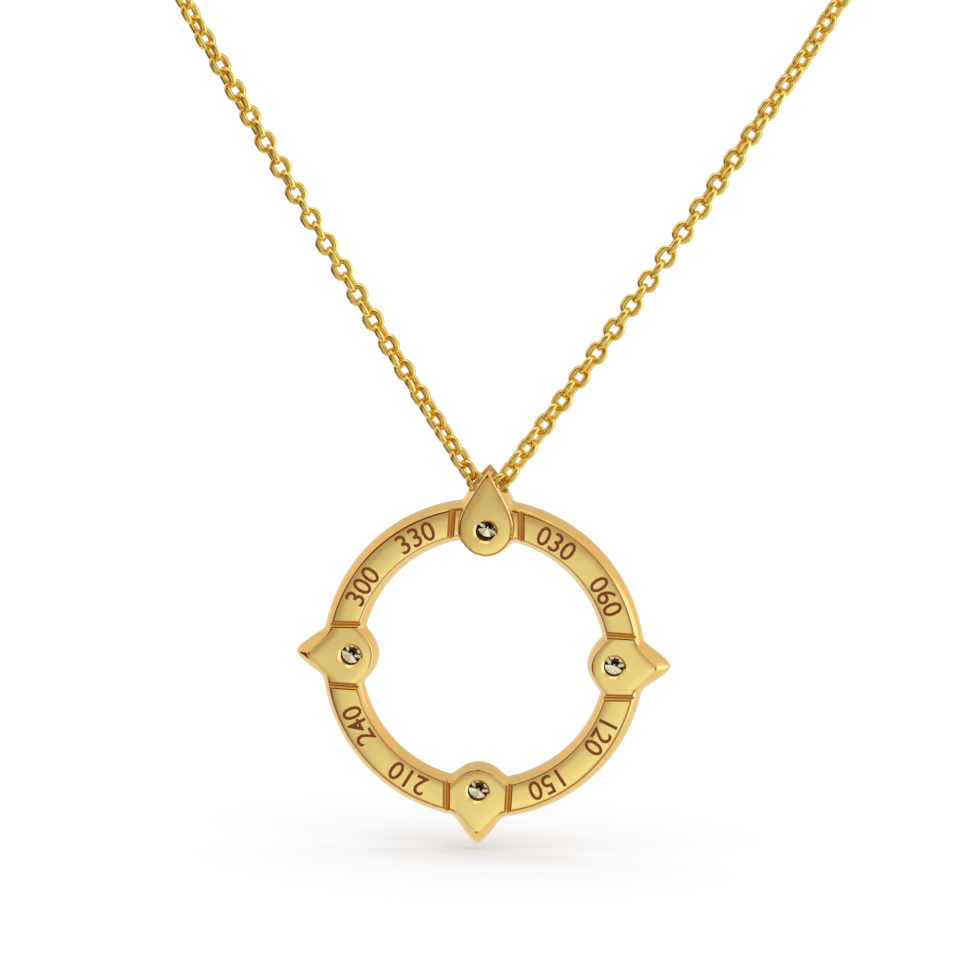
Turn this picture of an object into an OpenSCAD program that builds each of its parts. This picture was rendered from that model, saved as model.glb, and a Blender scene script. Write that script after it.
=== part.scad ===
// A compass pendant hanging on a fine cable chain, worked in millimetres.
// The pendant hangs upright with its back towards -Y, the side of the wearer, and its front
// towards +Y. The origin is at the nape, in the middle of the clasp.

/* [Ring] */
// Outer radius of the ring at its widest
ring_outer_r = 10.75; // [9.5:0.05:13]
// Width of the ring's band at its widest
ring_band_w = 2.67; // [2.4:0.01:3.2]
// Depth of the ring from its back face to the middle of its front
ring_depth = 1.6; // [1.3:0.05:2]
// How far the ring's sides lean out from the back face to the widest line
ring_flare = 0.38; // [0.2:0.01:0.5]
// Rise of the rounded front above the widest line
ring_crown = 0.35; // [0.2:0.01:0.6]
// Chamfer along the edges of every back face
back_chamfer = 0.12; // [0.05:0.01:0.2]
// Width of the grooves between the ring's panels and the compass points
groove_w = 0.4; // [0.2:0.01:0.5]
// Gap between the side of a point's back plate and the middle of the groove beside it
groove_gap = 0.22; // [0.2:0.01:0.4]

/* [Compass points] */
// Half width of the back plate on the east, south and west points
plate_half_w = 1.82; // [1.6:0.01:2]
// How far the back plate of these points reaches past the ring's widest line
plate_reach = 0.95; // [0.7:0.01:1.2]
// How far that plate reaches inside the ring's inner edge
plate_root = 0.8; // [0.6:0.01:1]
// How far the body of a point stands out around the sides of its back plate
point_flare = 0.35; // [0.2:0.01:0.45]
// How far the tip of the body stands out past the tip of the plate
tip_flare = 0.75; // [0.5:0.01:1]
// Height of a point's back plate above the ring's back face
plate_proud = 0.04; // [0.02:0.01:0.1]

/* [North point and chain slot] */
// Half width of the north point's back plate
north_plate_half_w = 1.8; // [1.6:0.01:1.95]
// How far the north plate reaches past the ring's widest line
north_plate_reach = 1.8; // [1.6:0.01:2.2]
// How far the north plate reaches inside the ring's inner edge
north_plate_root = 1.02; // [0.8:0.01:1.1]
// How far the front of the north point reaches past its plate at the tip
north_tip_flare = 0.4; // [0.3:0.01:0.6]
// Thickness of the back plate behind the chain
north_plate_t = 0.45; // [0.4:0.01:0.7]
// Thickness of the front in front of the chain
north_front_t = 0.6; // [0.5:0.01:0.9]
// Radius of the bridge that hangs on the chain
bridge_r = 0.2; // [0.15:0.01:0.3]
// Distance from the north plate's tip down to the middle of the bridge
bridge_drop = 0.2; // [0.18:0.01:0.5]

/* [Stones] */
// Diameter of the stones at the girdle
stone_d = 2.1; // [1.8:0.05:2.2]
// Width of the table as a share of the diameter
table_share = 0.57; // [0.5:0.01:0.65]
// Height of the crown as a share of the diameter
crown_share = 0.15; // [0.12:0.01:0.18]
// Depth of the pavilion as a share of the diameter
pavilion_share = 0.43; // [0.38:0.01:0.45]
// Thickness of the girdle
girdle_t = 0.06; // [0.03:0.01:0.1]
// Distance from the ring's inner edge to the middle of each stone
stone_inset = 0.68; // [0.5:0.01:0.9]
// Diameter of the open hole behind each stone
back_hole_d = 1.34; // [1:0.01:1.5]
// Width of the shallow bevel around that hole
hole_bevel = 0.16; // [0.05:0.01:0.25]
// Share of the crown's height that the metal lip covers
lip_share = 0.4; // [0.2:0.05:0.5]
// Wall of the collar around each stone
collar_wall = 0.26; // [0.15:0.01:0.4]
// Clearance between a stone and its seat
stone_clearance = 0.04; // [0.02:0.01:0.08]

/* [Chain] */
// Outer width of a link
link_w = 1.42; // [1.1:0.01:1.5]
// Clearance on each side of the chain in the slot
slot_clearance = 0.17; // [0.15:0.01:0.3]
// Clearance between the chain and the bridge that hangs on it
bridge_clearance = 0.02; // [0.02:0.01:0.1]
// Lean of each strand from the vertical where it leaves the slot
strand_lean = 35; // [30:1:40]

/* [Clasp] */
// Radius of the clasp's ring, to the middle of its wire
clasp_r = 2.3; // [2:0.05:3]
// Diameter of the clasp's ring wire
clasp_wire_d = 1.1; // [0.9:0.05:1.4]
// Radius of each end eye, to the middle of its wire
eye_r = 0.75; // [0.6:0.05:1]
// Diameter of the eyes' wire
eye_wire_d = 0.5; // [0.4:0.05:0.6]
// Gap between an eye and the end of the chain
clasp_gap = 0.12; // [0.1:0.01:0.3]

/* [Hidden] */

GOLD = "#DDBF78";
CHAIN_GOLD = "#E9C24A";
STONE = "#D8D4C8";
// How far joined shapes run into each other
OVERLAP = 0.05;
// Segments of large turned shapes, of bores and of the eyes' thin wire
SMOOTH = 96;
BORE = 48;
WIRE = 24;
// Thickness of the flat ends of a cut stone, and the radius of its point
STONE_END = 0.01;
CULET_R = 0.02;
// Sides of the chain's tube, steps between two points of its route and in half of its bend
TUBE_SIDES = 8;
ROUTE_STEPS = 2;
BEND_STEPS = 5;
// A direction that the chain's route never takes
ACROSS = [0, 0.6, 0.8];

// One half of a plate's outline from root to tip.
// Columns: share of the length, share of the half width.
PLATE = [[0, 0], [0.015, 0.25], [0.06, 0.5], [0.13, 0.75], [0.22, 0.94], [0.33, 0.99], [0.46, 1],
         [0.57, 0.98], [0.64, 0.93], [0.72, 0.75], [0.82, 0.5], [0.91, 0.29], [0.97, 0.13], [1, 0]];
// The same for the widest line of a point's body.
BODY = [[0, 0], [0.015, 0.25], [0.06, 0.5], [0.13, 0.73], [0.22, 0.91], [0.33, 0.99], [0.43, 1],
        [0.53, 0.98], [0.615, 0.88], [0.69, 0.72], [0.78, 0.55], [0.88, 0.36], [0.96, 0.18], [1, 0]];
// The north plate is a plain drop with long straight flanks.
NORTH_PLATE = [[0, 0], [0.012, 0.25], [0.045, 0.5], [0.12, 0.76], [0.22, 0.95], [0.34, 1], [0.44, 0.97],
               [0.53, 0.88], [0.61, 0.77], [0.7, 0.62], [0.79, 0.46], [0.88, 0.3], [0.96, 0.15], [1, 0]];
NORTH_BODY = [[0, 0], [0.015, 0.25], [0.06, 0.5], [0.13, 0.73], [0.22, 0.91], [0.33, 1], [0.44, 0.98],
              [0.53, 0.9], [0.61, 0.79], [0.69, 0.67], [0.78, 0.51], [0.88, 0.3], [0.96, 0.12], [1, 0]];

// The rounded front of the east, south and west points, from their widest line.
// Columns: share of the ring's crown, share of the flare around the back plate.
FRONT_ROLL = [[0, 1], [0.7, 0.8], [1.23, 0], [1.34, -0.6]];
// The sides of the north point, from its back plate down to its widest line.
// Columns: share of the way down, share of the flare around the back plate.
NORTH_ROLL = [[0.15, 0.1], [0.46, 0.6], [0.76, 0.92], [1, 1]];

// One strand of the chain from just above the slot to the nape, measured from the bridge.
STRAND = [[4.6, 0, 5], [9.1, 0, 11.7], [13.4, 0, 18.3], [17.6, 0, 24.9], [21.6, 0, 31.5],
          [28, -3, 44], [36, -12, 59], [44, -25, 74], [50.5, -41, 88], [53.5, -58, 99],
          [52, -76, 108], [43, -93, 115], [28, -103, 119], [12, -107, 120]];
// The nape, where the clasp sits and the part has its origin, measured from the bridge.
NAPE = [0, -108, 120];

// The ring
ring_inner_r = ring_outer_r - ring_band_w;
back_z = ring_depth / 2;
front_z = back_z - ring_depth;
wide_z = front_z + ring_crown;

// The grooves beside the points
groove_l = ring_band_w + ring_flare;
groove_side = groove_w / sqrt(2);
groove_v = plate_half_w + groove_gap;
north_groove_v = plate_half_w + point_flare + groove_gap / 2;

// The points, measured outwards from the ring's centre
plate_tip = ring_outer_r + plate_reach;
plate_end = ring_inner_r - plate_root;
body_tip = plate_tip + tip_flare;
body_end = plate_end - point_flare;
body_half_w = plate_half_w + point_flare;
north_tip = ring_outer_r + north_plate_reach;
north_end = ring_inner_r - north_plate_root;
north_body_tip = north_tip + north_tip_flare;
stone_u = ring_inner_r + stone_inset;
point_face_z = back_z + plate_proud;

// The chain, its slot and the bridge
chain_r = link_w / 2;
slot_half = chain_r + slot_clearance;
north_back_z = slot_half + north_plate_t;
north_front_z = -slot_half - north_front_t;
bridge_u = north_tip - bridge_drop;
bend_r = bridge_r + bridge_clearance + chain_r;
slot_r = bend_r + chain_r + slot_clearance;
web_half = 0.8 * bridge_r;
bridge_at = -NAPE;

// The stones and their seats
stone_r = stone_d / 2;
table_r = stone_r * table_share;
crown_h = stone_d * crown_share;
pavilion_h = stone_d * pavilion_share;
hole_r = back_hole_d / 2;
seat_r = stone_r + stone_clearance;
lip_h = crown_h * lip_share;
lip_r = seat_r - (stone_r - table_r) * lip_share;
collar_r = seat_r + collar_wall;
stone_z = front_z - girdle_t / 2;
north_stone_z = north_front_z - girdle_t / 2;

function mix(a, b, t) = a + (b - a) * t;

// A closed outline from a table of shares, as points across and along the point's axis.
function half_outline(table, root, tip, half_w) =
    [for (row = table) [row[1] * half_w, mix(root, tip, row[0])]];
function mirrored(half) =
    concat(half, [for (i = [len(half) - 2 : -1 : 1]) [-half[i][0], half[i][1]]]);

// A solid through levels of outlines. Columns of a level: height, share of the way from the inner
// outline to the outer one.
module loft(inner, outer, levels) {
    count = len(inner);
    points = [for (level = levels, i = [0 : count - 1])
        [each mix(inner[i], outer[i], level[1]), level[0]]];
    walls = [for (k = [0 : len(levels) - 2], i = [0 : count - 1])
        let (j = (i + 1) % count, low = k * count, high = low + count)
        each [[low + i, high + j, high + i], [low + i, low + j, high + j]]];
    top = [for (i = [count - 1 : -1 : 0]) i];
    bottom = [for (i = [0 : count - 1]) (len(levels) - 1) * count + i];
    polyhedron(points, concat([top, bottom], walls));
}

// Turns a part drawn flat, with its back facing up, into its place on the chain.
module hung() {
    translate(bridge_at) rotate([90, 0, 0]) translate([0, -bridge_u, 0]) children();
}

// Repeats a part at each compass point but the north one.
module at_points() {
    for (turn = [90, 180, 270]) rotate(-turn) children();
}

module ring_band() {
    section = [
        [ring_inner_r + ring_flare + back_chamfer, back_z],
        [ring_outer_r - ring_flare - back_chamfer, back_z],
        [ring_outer_r - ring_flare, back_z - back_chamfer],
        [ring_outer_r, wide_z],
        each [for (a = [15 : 15 : 165])
            [ring_outer_r - ring_band_w / 2 * (1 - cos(a)), wide_z - ring_crown * sin(a)]],
        [ring_inner_r, wide_z],
        [ring_inner_r + ring_flare, back_z - back_chamfer]
    ];
    rotate_extrude($fn = SMOOTH) polygon(section);
}

module compass_point() {
    plate = mirrored(half_outline(PLATE, plate_end, plate_tip, plate_half_w));
    body = mirrored(half_outline(BODY, body_end, body_tip, body_half_w));
    wide = wide_z + plate_proud;
    loft(plate, body, [
        [point_face_z, -back_chamfer / point_flare],
        [point_face_z - back_chamfer, 0],
        each [for (row = FRONT_ROLL) [wide - row[0] * ring_crown, row[1]]]
    ]);
}

module north_point() {
    plate = mirrored(half_outline(NORTH_PLATE, north_end, north_tip, north_plate_half_w));
    body = mirrored(half_outline(NORTH_BODY, body_end, north_body_tip, body_half_w));
    wide = wide_z + plate_proud;
    loft(plate, body, [
        [north_back_z, -back_chamfer / point_flare],
        [north_back_z - back_chamfer, 0],
        each [for (row = NORTH_ROLL) [mix(north_back_z, wide, row[0]), row[1]]],
        [north_front_z + ring_crown / 2, 1],
        [north_front_z, 0]
    ]);
}

// The opening for the chain, round below where the chain bends round the bridge.
module chain_slot() {
    translate([0, bridge_u, 0]) cylinder(r = slot_r, h = 2 * slot_half, center = true, $fn = SMOOTH);
}

// The bridge across the slot under the tip, round where it hangs on the chain.
module bridge() {
    half = slot_half + OVERLAP;
    translate([0, bridge_u, -half]) cylinder(r = bridge_r, h = 2 * half, $fn = BORE);
    translate([0, 0, -half]) linear_extrude(2 * half)
        polygon([[-web_half, bridge_u], [web_half, bridge_u], [0, north_tip - OVERLAP]]);
}

// A groove of V section across the ring's back face.
module groove(offset) {
    translate([offset, mix(ring_inner_r, ring_outer_r, 0.5), back_z]) rotate([0, 45, 0])
        cube([groove_side, groove_l, groove_side], center = true);
}

// The seat is cut from the girdle outwards, and opens to the back through a round hole.
module seat(girdle_z, face_z) {
    slope = pavilion_h / stone_r;
    low = girdle_t / 2 + stone_clearance;
    back = girdle_z - face_z - ring_depth;
    translate([0, stone_u, girdle_z]) mirror([0, 0, 1]) rotate_extrude($fn = BORE) polygon([
        [0, back], [hole_r, back], [hole_r, -low - (seat_r - hole_r) * slope], [seat_r, -low],
        [seat_r, low], [lip_r, low + lip_h], [lip_r, ring_depth], [0, ring_depth]
    ]);
    translate([0, stone_u, face_z - hole_bevel / 2])
        cylinder(r1 = hole_r, r2 = hole_r + 2 * hole_bevel, h = hole_bevel, $fn = BORE);
}

module collar(girdle_z) {
    top = girdle_t / 2 + stone_clearance + lip_h;
    translate([0, stone_u, girdle_z]) mirror([0, 0, 1]) rotate_extrude($fn = BORE) polygon([
        [0, -ring_crown], [collar_r, -ring_crown], [collar_r, top - lip_h], [collar_r - lip_h, top],
        [0, top]
    ]);
}

module pendant_frame() color(GOLD) hung() difference() {
    union() {
        difference() {
            union() {
                ring_band();
                at_points() compass_point();
                north_point();
            }
            chain_slot();
            at_points() for (side = [-1, 1]) groove(side * groove_v);
            for (side = [-1, 1]) groove(side * north_groove_v);
        }
        bridge();
        at_points() collar(stone_z);
        collar(north_stone_z);
    }
    at_points() seat(stone_z, point_face_z);
    seat(north_stone_z, north_back_z);
}

// A round brilliant cut: an eight-sided table, a sixteen-sided girdle and a point behind.
module brilliant(girdle_z) {
    translate([0, stone_u, girdle_z]) mirror([0, 0, 1]) hull() {
        translate([0, 0, girdle_t / 2 + crown_h - STONE_END])
            cylinder(r = table_r, h = STONE_END, $fn = 8);
        cylinder(r = stone_r, h = girdle_t, center = true, $fn = 16);
        translate([0, 0, -girdle_t / 2 - pavilion_h]) cylinder(r = CULET_R, h = STONE_END, $fn = 8);
    }
}

module stone_north() color(STONE) hung() brilliant(north_stone_z);
module stone_east() color(STONE) hung() rotate(-90) brilliant(stone_z);
module stone_south() color(STONE) hung() rotate(180) brilliant(stone_z);
module stone_west() color(STONE) hung() rotate(90) brilliant(stone_z);

// A smooth curve through chosen points.
function catmull(a, b, c, d, t) =
    0.5 * (2 * b + (c - a) * t + (2 * a - 5 * b + 4 * c - d) * t * t
        + (3 * b - a - 3 * c + d) * t * t * t);
function smooth_path(points, steps) = [
    for (i = [1 : len(points) - 3], k = [0 : steps - 1])
        catmull(points[i - 1], points[i], points[i + 1], points[i + 2], k / steps),
    points[len(points) - 2]
];
function flipped(points) =
    [for (i = [len(points) - 1 : -1 : 0]) [-points[i][0], points[i][1], points[i][2]]];
function on_bend(a) = bend_r * [sin(a), 0, -cos(a)];

// The chain's path: a bend under the bridge, then both strands up and round to the clasp. Points
// back along the lean and past the clasp only set the direction of a strand's two ends.
bend_sweep = 90 - strand_lean;
bend_end = on_bend(bend_sweep);
lead_in = bend_end - STRAND[0][0] * [sin(strand_lean), 0, cos(strand_lean)];
eye_x = clasp_r + clasp_wire_d / 2 + eye_r;
chain_end_x = eye_x + eye_r + eye_wire_d / 2 + clasp_gap;
chain_end = NAPE + [chain_end_x, 0, 0];
strand = smooth_path(concat([lead_in, bend_end], STRAND, [chain_end, NAPE]), ROUTE_STEPS);
bend = [for (i = [1 - BEND_STEPS : BEND_STEPS - 1]) on_bend(bend_sweep * i / BEND_STEPS)];
path = [for (p = concat(flipped(strand), bend, strand)) p - NAPE];

function unit(v) = v / norm(v);
function along(points, i) =
    unit(points[min(i + 1, len(points) - 1)] - points[max(i - 1, 0)]);

// A round tube with flat ends along a path of points.
module tube(points, radius, sides) {
    rings = [for (i = [0 : len(points) - 1])
        let (t = along(points, i), n = unit(cross(t, ACROSS)), b = cross(t, n))
        for (k = [0 : sides - 1])
            let (turn = 360 * k / sides) points[i] + radius * (n * cos(turn) + b * sin(turn))];
    walls = [for (i = [0 : len(points) - 2], k = [0 : sides - 1])
        let (next = (k + 1) % sides, low = i * sides, high = low + sides)
        each [[low + k, high + next, high + k], [low + k, low + next, high + next]]];
    first = [for (k = [sides - 1 : -1 : 0]) k];
    last = [for (k = [0 : sides - 1]) (len(points) - 1) * sides + k];
    polyhedron(rings, concat([first, last], walls));
}

module chain() color(CHAIN_GOLD) tube(path, chain_r, TUBE_SIDES);

// A spring ring with an eye at each side.
module clasp() color(CHAIN_GOLD) rotate([90, 0, 0]) {
    rotate_extrude($fn = SMOOTH) translate([clasp_r, 0]) circle(d = clasp_wire_d, $fn = BORE);
    for (side = [-1, 1]) translate([side * eye_x, 0, 0])
        rotate_extrude($fn = BORE) translate([eye_r, 0]) circle(d = eye_wire_d, $fn = WIRE);
}

pendant_frame();
stone_north();
stone_east();
stone_south();
stone_west();
chain();
clasp();
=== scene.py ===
"""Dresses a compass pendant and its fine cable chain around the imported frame.

Sizes are in millimetres and become metres when a piece is hung in its place. The pendant is drawn
flat first: x across, y outwards to the north point, z towards its back.
"""

import bisect
import logging
import math
import random
from dataclasses import dataclass, field
from enum import Enum
from typing import Callable

import bmesh
import bpy
from mathutils import Matrix, Vector


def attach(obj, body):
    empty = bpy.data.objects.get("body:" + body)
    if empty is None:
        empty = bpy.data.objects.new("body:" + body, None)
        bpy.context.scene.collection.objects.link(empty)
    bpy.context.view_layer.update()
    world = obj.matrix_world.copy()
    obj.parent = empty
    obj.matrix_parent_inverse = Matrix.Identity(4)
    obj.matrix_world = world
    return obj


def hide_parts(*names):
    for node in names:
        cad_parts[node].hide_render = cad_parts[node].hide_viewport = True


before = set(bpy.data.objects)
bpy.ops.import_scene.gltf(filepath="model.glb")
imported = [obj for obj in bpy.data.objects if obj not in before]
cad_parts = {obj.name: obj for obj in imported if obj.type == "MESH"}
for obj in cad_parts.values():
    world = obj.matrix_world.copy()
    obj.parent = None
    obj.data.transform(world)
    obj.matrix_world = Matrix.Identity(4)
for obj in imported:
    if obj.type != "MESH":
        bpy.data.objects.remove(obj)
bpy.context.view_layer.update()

LOG = logging.getLogger("pendant")
MM = 0.001

# One strand of the chain from just above the slot to the nape, measured from the bridge, in metres.
STRAND = [(0.0046, 0, 0.005), (0.0091, 0, 0.0117), (0.0134, 0, 0.0183), (0.0176, 0, 0.0249),
          (0.0216, 0, 0.0315), (0.028, -0.003, 0.044), (0.036, -0.012, 0.059), (0.044, -0.025, 0.074),
          (0.0505, -0.041, 0.088), (0.0535, -0.058, 0.099), (0.052, -0.076, 0.108),
          (0.043, -0.093, 0.115), (0.028, -0.103, 0.119), (0.012, -0.107, 0.12)]
# The bridge that hangs on the chain, measured from the middle of the clasp.
BRIDGE = Vector((0, 0.108, -0.12))

# Half outlines from root to tip. Columns: share of the length, share of the half width.
PLATE = [(0, 0), (0.015, 0.25), (0.06, 0.5), (0.13, 0.75), (0.22, 0.94), (0.33, 0.99), (0.46, 1),
         (0.57, 0.98), (0.64, 0.93), (0.72, 0.75), (0.82, 0.5), (0.91, 0.29), (0.97, 0.13), (1, 0)]
BODY = [(0, 0), (0.015, 0.25), (0.06, 0.5), (0.13, 0.73), (0.22, 0.91), (0.33, 0.99), (0.43, 1),
        (0.53, 0.98), (0.615, 0.88), (0.69, 0.72), (0.78, 0.55), (0.88, 0.36), (0.96, 0.18), (1, 0)]
NORTH_PLATE = [(0, 0), (0.012, 0.25), (0.045, 0.5), (0.12, 0.76), (0.22, 0.95), (0.34, 1), (0.44, 0.97),
               (0.53, 0.88), (0.61, 0.77), (0.7, 0.62), (0.79, 0.46), (0.88, 0.3), (0.96, 0.15), (1, 0)]
NORTH_BODY = [(0, 0), (0.015, 0.25), (0.06, 0.5), (0.13, 0.73), (0.22, 0.91), (0.33, 1), (0.44, 0.98),
              (0.53, 0.9), (0.61, 0.79), (0.69, 0.67), (0.78, 0.51), (0.88, 0.3), (0.96, 0.12), (1, 0)]

# Section of the polished bevel along an edge: how far in and how far down, from the flat outwards.
BEVEL = [(0.19, 0), (0.09, 0.0445), (0.01, 0.1465), (0, 0.2035)]
# Lines of the flats' slight cushion: distances inside the bevel.
CUSHION = (0.55, 0.4, 0.27, 0.16, 0.07)
# Sections of the ring's shell from a point's axis: first bearing, step in degrees, how many.
SECTIONS = [(0.0, 0.2, 15), (3.0, 0.4, 36), (17.4, 1.38, 21)]

# Numbers of the Mix node's colour sockets.
MIX_A, MIX_B, MIX_OUT = 6, 7, 2


class Slot(Enum):
    """The record's material slots."""

    PENDANT = "pendant_gold"
    CHAIN = "chain_gold"
    STONE = "stone"


class Body(Enum):
    """The bodies that pieces ride on."""

    NECKLACE = "necklace"
    PENDANT = "pendant"


class Bearing(Enum):
    """The compass points, as degrees clockwise from the north point."""

    NORTH = 0
    EAST = 90
    SOUTH = 180
    WEST = 270


class Cut(Enum):
    """Ways to combine two closed solids."""

    ADD = "UNION"
    TAKE = "DIFFERENCE"


class Finish(Enum):
    """The finishes of the pendant's metal, by material slot."""

    POLISHED = 0
    # Rough gold in the slot and on the bridge. Its colour is painted paler than the polished gold:
    # painted light in the shaded slot.
    SATIN_PAINTED_PALER = 1
    DULL = 2
    # The walls of the stones' seats and holes: brown painted shade.
    PAINTED_SHADE_IN_SEATS = 3
    BURNT = 4


def mix(a: float, b: float, share: float) -> float:
    """Returns the value a share of the way from a to b."""
    return a + (b - a) * share


def soft_max(a: float, b: float, blend: float) -> float:
    """Takes the larger of two radii, with a fillet where they are nearly equal.

    Args:
        a: the first radius.
        b: the second radius.
        blend: how far apart the two may be and still blend.

    Returns:
        The blended radius.
    """
    overlap = max(blend - abs(a - b), 0)
    return max(a, b) + overlap * overlap / (4 * blend)


def linear(hex_colour: str) -> tuple[float, float, float, float]:
    """Turns an sRGB hex colour into linear values.

    Args:
        hex_colour: a colour such as "#ddbf78".

    Returns:
        Red, green, blue and a full alpha.
    """
    channels = [int(hex_colour[i:i + 2], 16) / 255 for i in (1, 3, 5)]
    red, green, blue = (c / 12.92 if c <= 0.04045 else ((c + 0.055) / 1.055) ** 2.4 for c in channels)
    return red, green, blue, 1.0


def add_node(tree: bpy.types.NodeTree, kind: str, settings: dict | None = None,
             inputs: dict | None = None) -> bpy.types.Node:
    """Adds one node to a tree.

    Args:
        tree: the node tree.
        kind: the node's type name.
        settings: properties to set on the node.
        inputs: a value, or another node's output, for each named or numbered input.

    Returns:
        The new node.
    """
    node = tree.nodes.new(kind)
    for key, value in (settings or {}).items():
        setattr(node, key, value)
    for key, value in (inputs or {}).items():
        if isinstance(value, bpy.types.NodeSocket):
            tree.links.new(value, node.inputs[key])
        else:
            node.inputs[key].default_value = value
    return node


def catmull(points: list[Vector], steps: int) -> list[Vector]:
    """Runs a smooth curve through all but the first and last of the points.

    Args:
        points: the points, whose two ends only set the direction.
        steps: steps from each point to the next.

    Returns:
        The points of the curve.
    """
    curve = []
    for a, b, c, d in zip(points, points[1:], points[2:], points[3:]):
        for k in range(steps):
            t = k / steps
            curve.append(0.5 * (2 * b + (c - a) * t + (2 * a - 5 * b + 4 * c - d) * t * t
                                + (3 * b - a - 3 * c + d) * t ** 3))
    curve.append(points[-2].copy())
    return curve


def as_object(name: str, bm: bmesh.types.BMesh, *materials: bpy.types.Material) -> bpy.types.Object:
    """Makes a mesh object from a bmesh and frees the bmesh.

    Args:
        name: the object's name.
        bm: the finished bmesh.
        materials: the object's materials, in slot order.

    Returns:
        The new object, at the origin.
    """
    mesh = bpy.data.meshes.new(name)
    bm.to_mesh(mesh)
    bm.free()
    for material in materials:
        mesh.materials.append(material)
    piece = bpy.data.objects.new(name, mesh)
    bpy.context.scene.collection.objects.link(piece)
    return piece


def combine(piece: bpy.types.Object, tool: bpy.types.Object, way: Cut) -> None:
    """Adds a solid to a piece or takes it away, and deletes the solid.

    Args:
        piece: the piece to change.
        tool: the solid to combine with it.
        way: whether to add or to take away.
    """
    joint = piece.modifiers.new(way.name, "BOOLEAN")
    joint.operation = way.value
    joint.solver = "MANIFOLD"
    joint.object = tool
    graph = bpy.context.evaluated_depsgraph_get()
    result = bpy.data.meshes.new_from_object(piece.evaluated_get(graph))
    piece.modifiers.clear()
    old = piece.data
    piece.data = result
    bpy.data.meshes.remove(old)
    bpy.data.meshes.remove(tool.data)


def shade(piece: bpy.types.Object, sharp_deg: float) -> None:
    """Shades a piece smooth, except along edges that turn by more than an angle.

    Args:
        piece: the piece to shade.
        sharp_deg: the smallest turn that stays sharp.
    """
    bm = bmesh.new()
    bm.from_mesh(piece.data)
    for face in bm.faces:
        face.smooth = True
    for edge in bm.edges:
        edge.smooth = len(edge.link_faces) == 2 and edge.calc_face_angle(0) < math.radians(sharp_deg)
    bm.to_mesh(piece.data)
    bm.free()
    weights = piece.modifiers.new("flats_stay_flat", "WEIGHTED_NORMAL")
    weights.keep_sharp = True


def lathe(profile: list[tuple[float, float]], sides: int) -> bmesh.types.BMesh:
    """Turns a profile round the z axis into a closed solid.

    Args:
        profile: radius and height of each point, from one end on the axis to the other, or closed.
        sides: the number of sides.

    Returns:
        The turned solid.
    """
    bm = bmesh.new()
    verts = [bm.verts.new((radius, 0, height)) for radius, height in profile]
    edges = [bm.edges.new(pair) for pair in zip(verts, verts[1:])]
    bmesh.ops.spin(bm, geom=verts + edges, axis=(0, 0, 1), cent=(0, 0, 0), angle=math.tau,
                   steps=sides, use_merge=True)
    bmesh.ops.remove_doubles(bm, verts=bm.verts, dist=1e-5)
    bmesh.ops.recalc_face_normals(bm, faces=bm.faces)
    return bm


class Loops:
    """A shell drawn as loops with the same number of points, each extruded from the one before."""

    def __init__(self, outline: list[Vector]) -> None:
        """Starts the shell.

        Args:
            outline: the points of the first loop.
        """
        self.bm = bmesh.new()
        self.station = self.bm.verts.layers.int.new("station")
        verts = bmesh.ops.create_circle(self.bm, segments=len(outline), radius=1)["verts"]
        for number, vert in enumerate(verts):
            vert[self.station] = number
            vert.co = outline[number]
        self.rim = list(self.bm.edges)

    def cap(self) -> None:
        """Closes the shell with a flat face inside the present loop."""
        bmesh.ops.contextual_create(self.bm, geom=self.rim)

    def grow(self, outline: list[Vector]) -> None:
        """Extrudes the present loop and moves the new one to its points.

        Args:
            outline: the points of the new loop.
        """
        made = bmesh.ops.extrude_edge_only(self.bm, edges=self.rim)["geom"]
        fresh = {item for item in made if isinstance(item, bmesh.types.BMVert)}
        for vert in fresh:
            vert.co = outline[vert[self.station]]
        self.rim = [item for item in made if isinstance(item, bmesh.types.BMEdge)
                    and fresh.issuperset(item.verts)]

    def finish(self) -> bmesh.types.BMesh:
        """Welds loops that meet and turns the faces outwards.

        Returns:
            The closed shell.
        """
        bmesh.ops.remove_doubles(self.bm, verts=self.bm.verts, dist=1e-5)
        bmesh.ops.recalc_face_normals(self.bm, faces=self.bm.faces)
        return self.bm


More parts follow.
